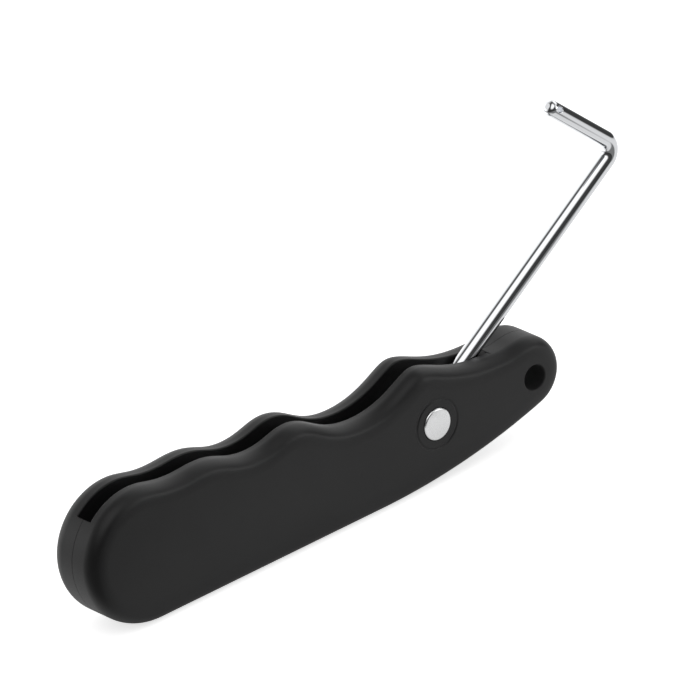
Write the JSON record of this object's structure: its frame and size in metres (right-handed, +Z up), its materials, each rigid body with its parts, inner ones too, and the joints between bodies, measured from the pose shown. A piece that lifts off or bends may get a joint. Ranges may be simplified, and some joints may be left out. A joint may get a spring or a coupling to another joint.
{
  "type": "folding string winder",
  "caption": "Pocket-knife style string winder: a bent steel rod with a small eye at its tip folds on a rivet into a slotted, finger-grooved plastic handle with a lanyard hole.",
  "frame": {"origin": "bottom centre of the whole object's box with the rod open, at the level of the handle's straight back", "axes": "+X along the handle from its round butt to its lanyard nose, +Y through its thickness from the front side to the rear side, +Z up from its straight back to its finger grooves"},
  "size_m": [0.1142, 0.011, 0.0516],
  "materials": {
    "handle_plastic": "fine moulded matte",
    "rod_chrome": "polished plating",
    "rivet_steel": "satin, slightly domed",
    "washer_steel": "plain spring steel"
  },
  "bodies": {
    "handle": {"front_shell": "handle_plastic", "rear_shell": "handle_plastic", "rivet_front_half": "rivet_steel", "rivet_rear_half": "rivet_steel", "front_washer": "washer_steel", "rear_washer": "washer_steel", "spring_washer": "washer_steel"},
    "rod": {"winder_rod": "rod_chrome"}
  },
  "joints": [
    {"name": "rod_fold", "type": "hinge", "parent": "handle", "child": "rod", "pos_m": [0.01179, 0, 0.01055], "axis": [0, -1, 0], "range_deg": [0, 138]}
  ]
}
